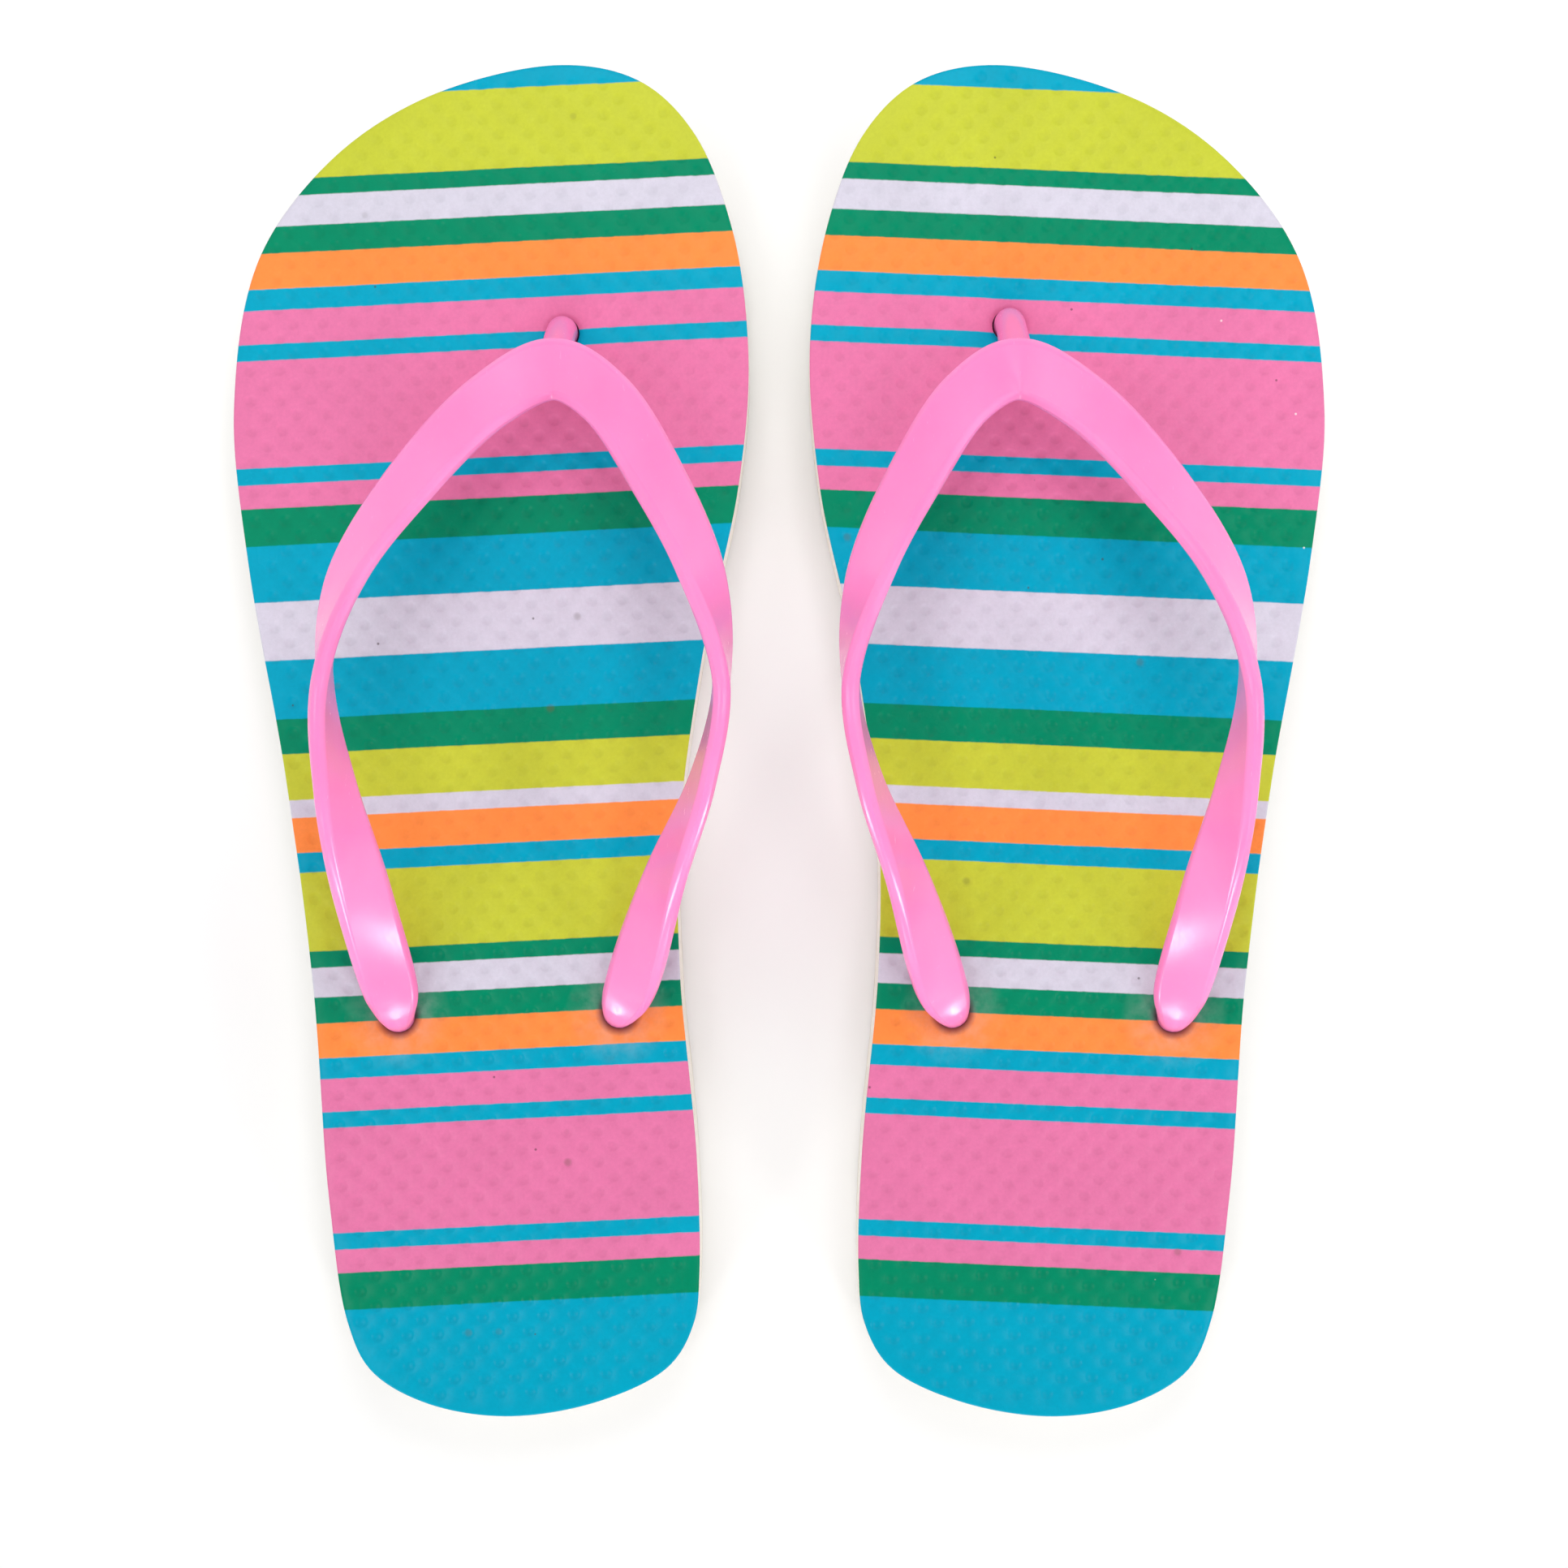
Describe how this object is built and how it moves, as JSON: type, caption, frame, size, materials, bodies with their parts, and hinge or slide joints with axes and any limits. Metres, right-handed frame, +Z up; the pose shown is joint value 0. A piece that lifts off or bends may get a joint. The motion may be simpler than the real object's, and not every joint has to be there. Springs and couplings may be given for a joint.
{
  "type": "pair of flip-flops",
  "caption": "Pair of flat foam flip-flops with a striped, dimpled footbed and a glossy moulded toe-post strap; the soles flex at the ball of the foot.",
  "frame": {"origin": "on the ground under the outsoles, midway between the two shoes and midway along them", "axes": "+X from the left shoe to the right one, +Y from heels to toes, +Z up from the ground"},
  "size_m": [0.2018, 0.25, 0.0543],
  "materials": {
    "footbed_print": "matte",
    "midsole_foam": "matte",
    "outsole_rubber": "matte",
    "strap_pvc": "gloss"
  },
  "bodies": {
    "left_forefoot": {"left_footbed_front": "footbed_print", "left_midsole_front": "midsole_foam", "left_outsole_front": "outsole_rubber", "left_strap": "strap_pvc"},
    "left_heel": {"left_footbed_rear": "footbed_print", "left_midsole_rear": "midsole_foam", "left_outsole_rear": "outsole_rubber"},
    "right_forefoot": {"right_footbed_front": "footbed_print", "right_midsole_front": "midsole_foam", "right_outsole_front": "outsole_rubber", "right_strap": "strap_pvc"},
    "right_heel": {"right_footbed_rear": "footbed_print", "right_midsole_rear": "midsole_foam", "right_outsole_rear": "outsole_rubber"}
  },
  "joints": [
    {"name": "left_sole_flex", "type": "hinge", "parent": "left_forefoot", "child": "left_heel", "pos_m": [-0.05325, 0.03, 0.015], "axis": [-1, 0, 0], "range_deg": [0, 30], "stiffness_Nm_per_rad": 1, "deforming": ["left_strap"]},
    {"name": "right_sole_flex", "type": "hinge", "parent": "right_forefoot", "child": "right_heel", "pos_m": [0.05325, 0.03, 0.015], "axis": [-1, 0, 0], "range_deg": [0, 30], "stiffness_Nm_per_rad": 1, "deforming": ["right_strap"]},
    {"name": "right_shoe_lift", "type": "slide", "parent": "left_forefoot", "child": "right_forefoot", "axis": [0, 0, 1], "range_m": [0, 0.12]}
  ]
}
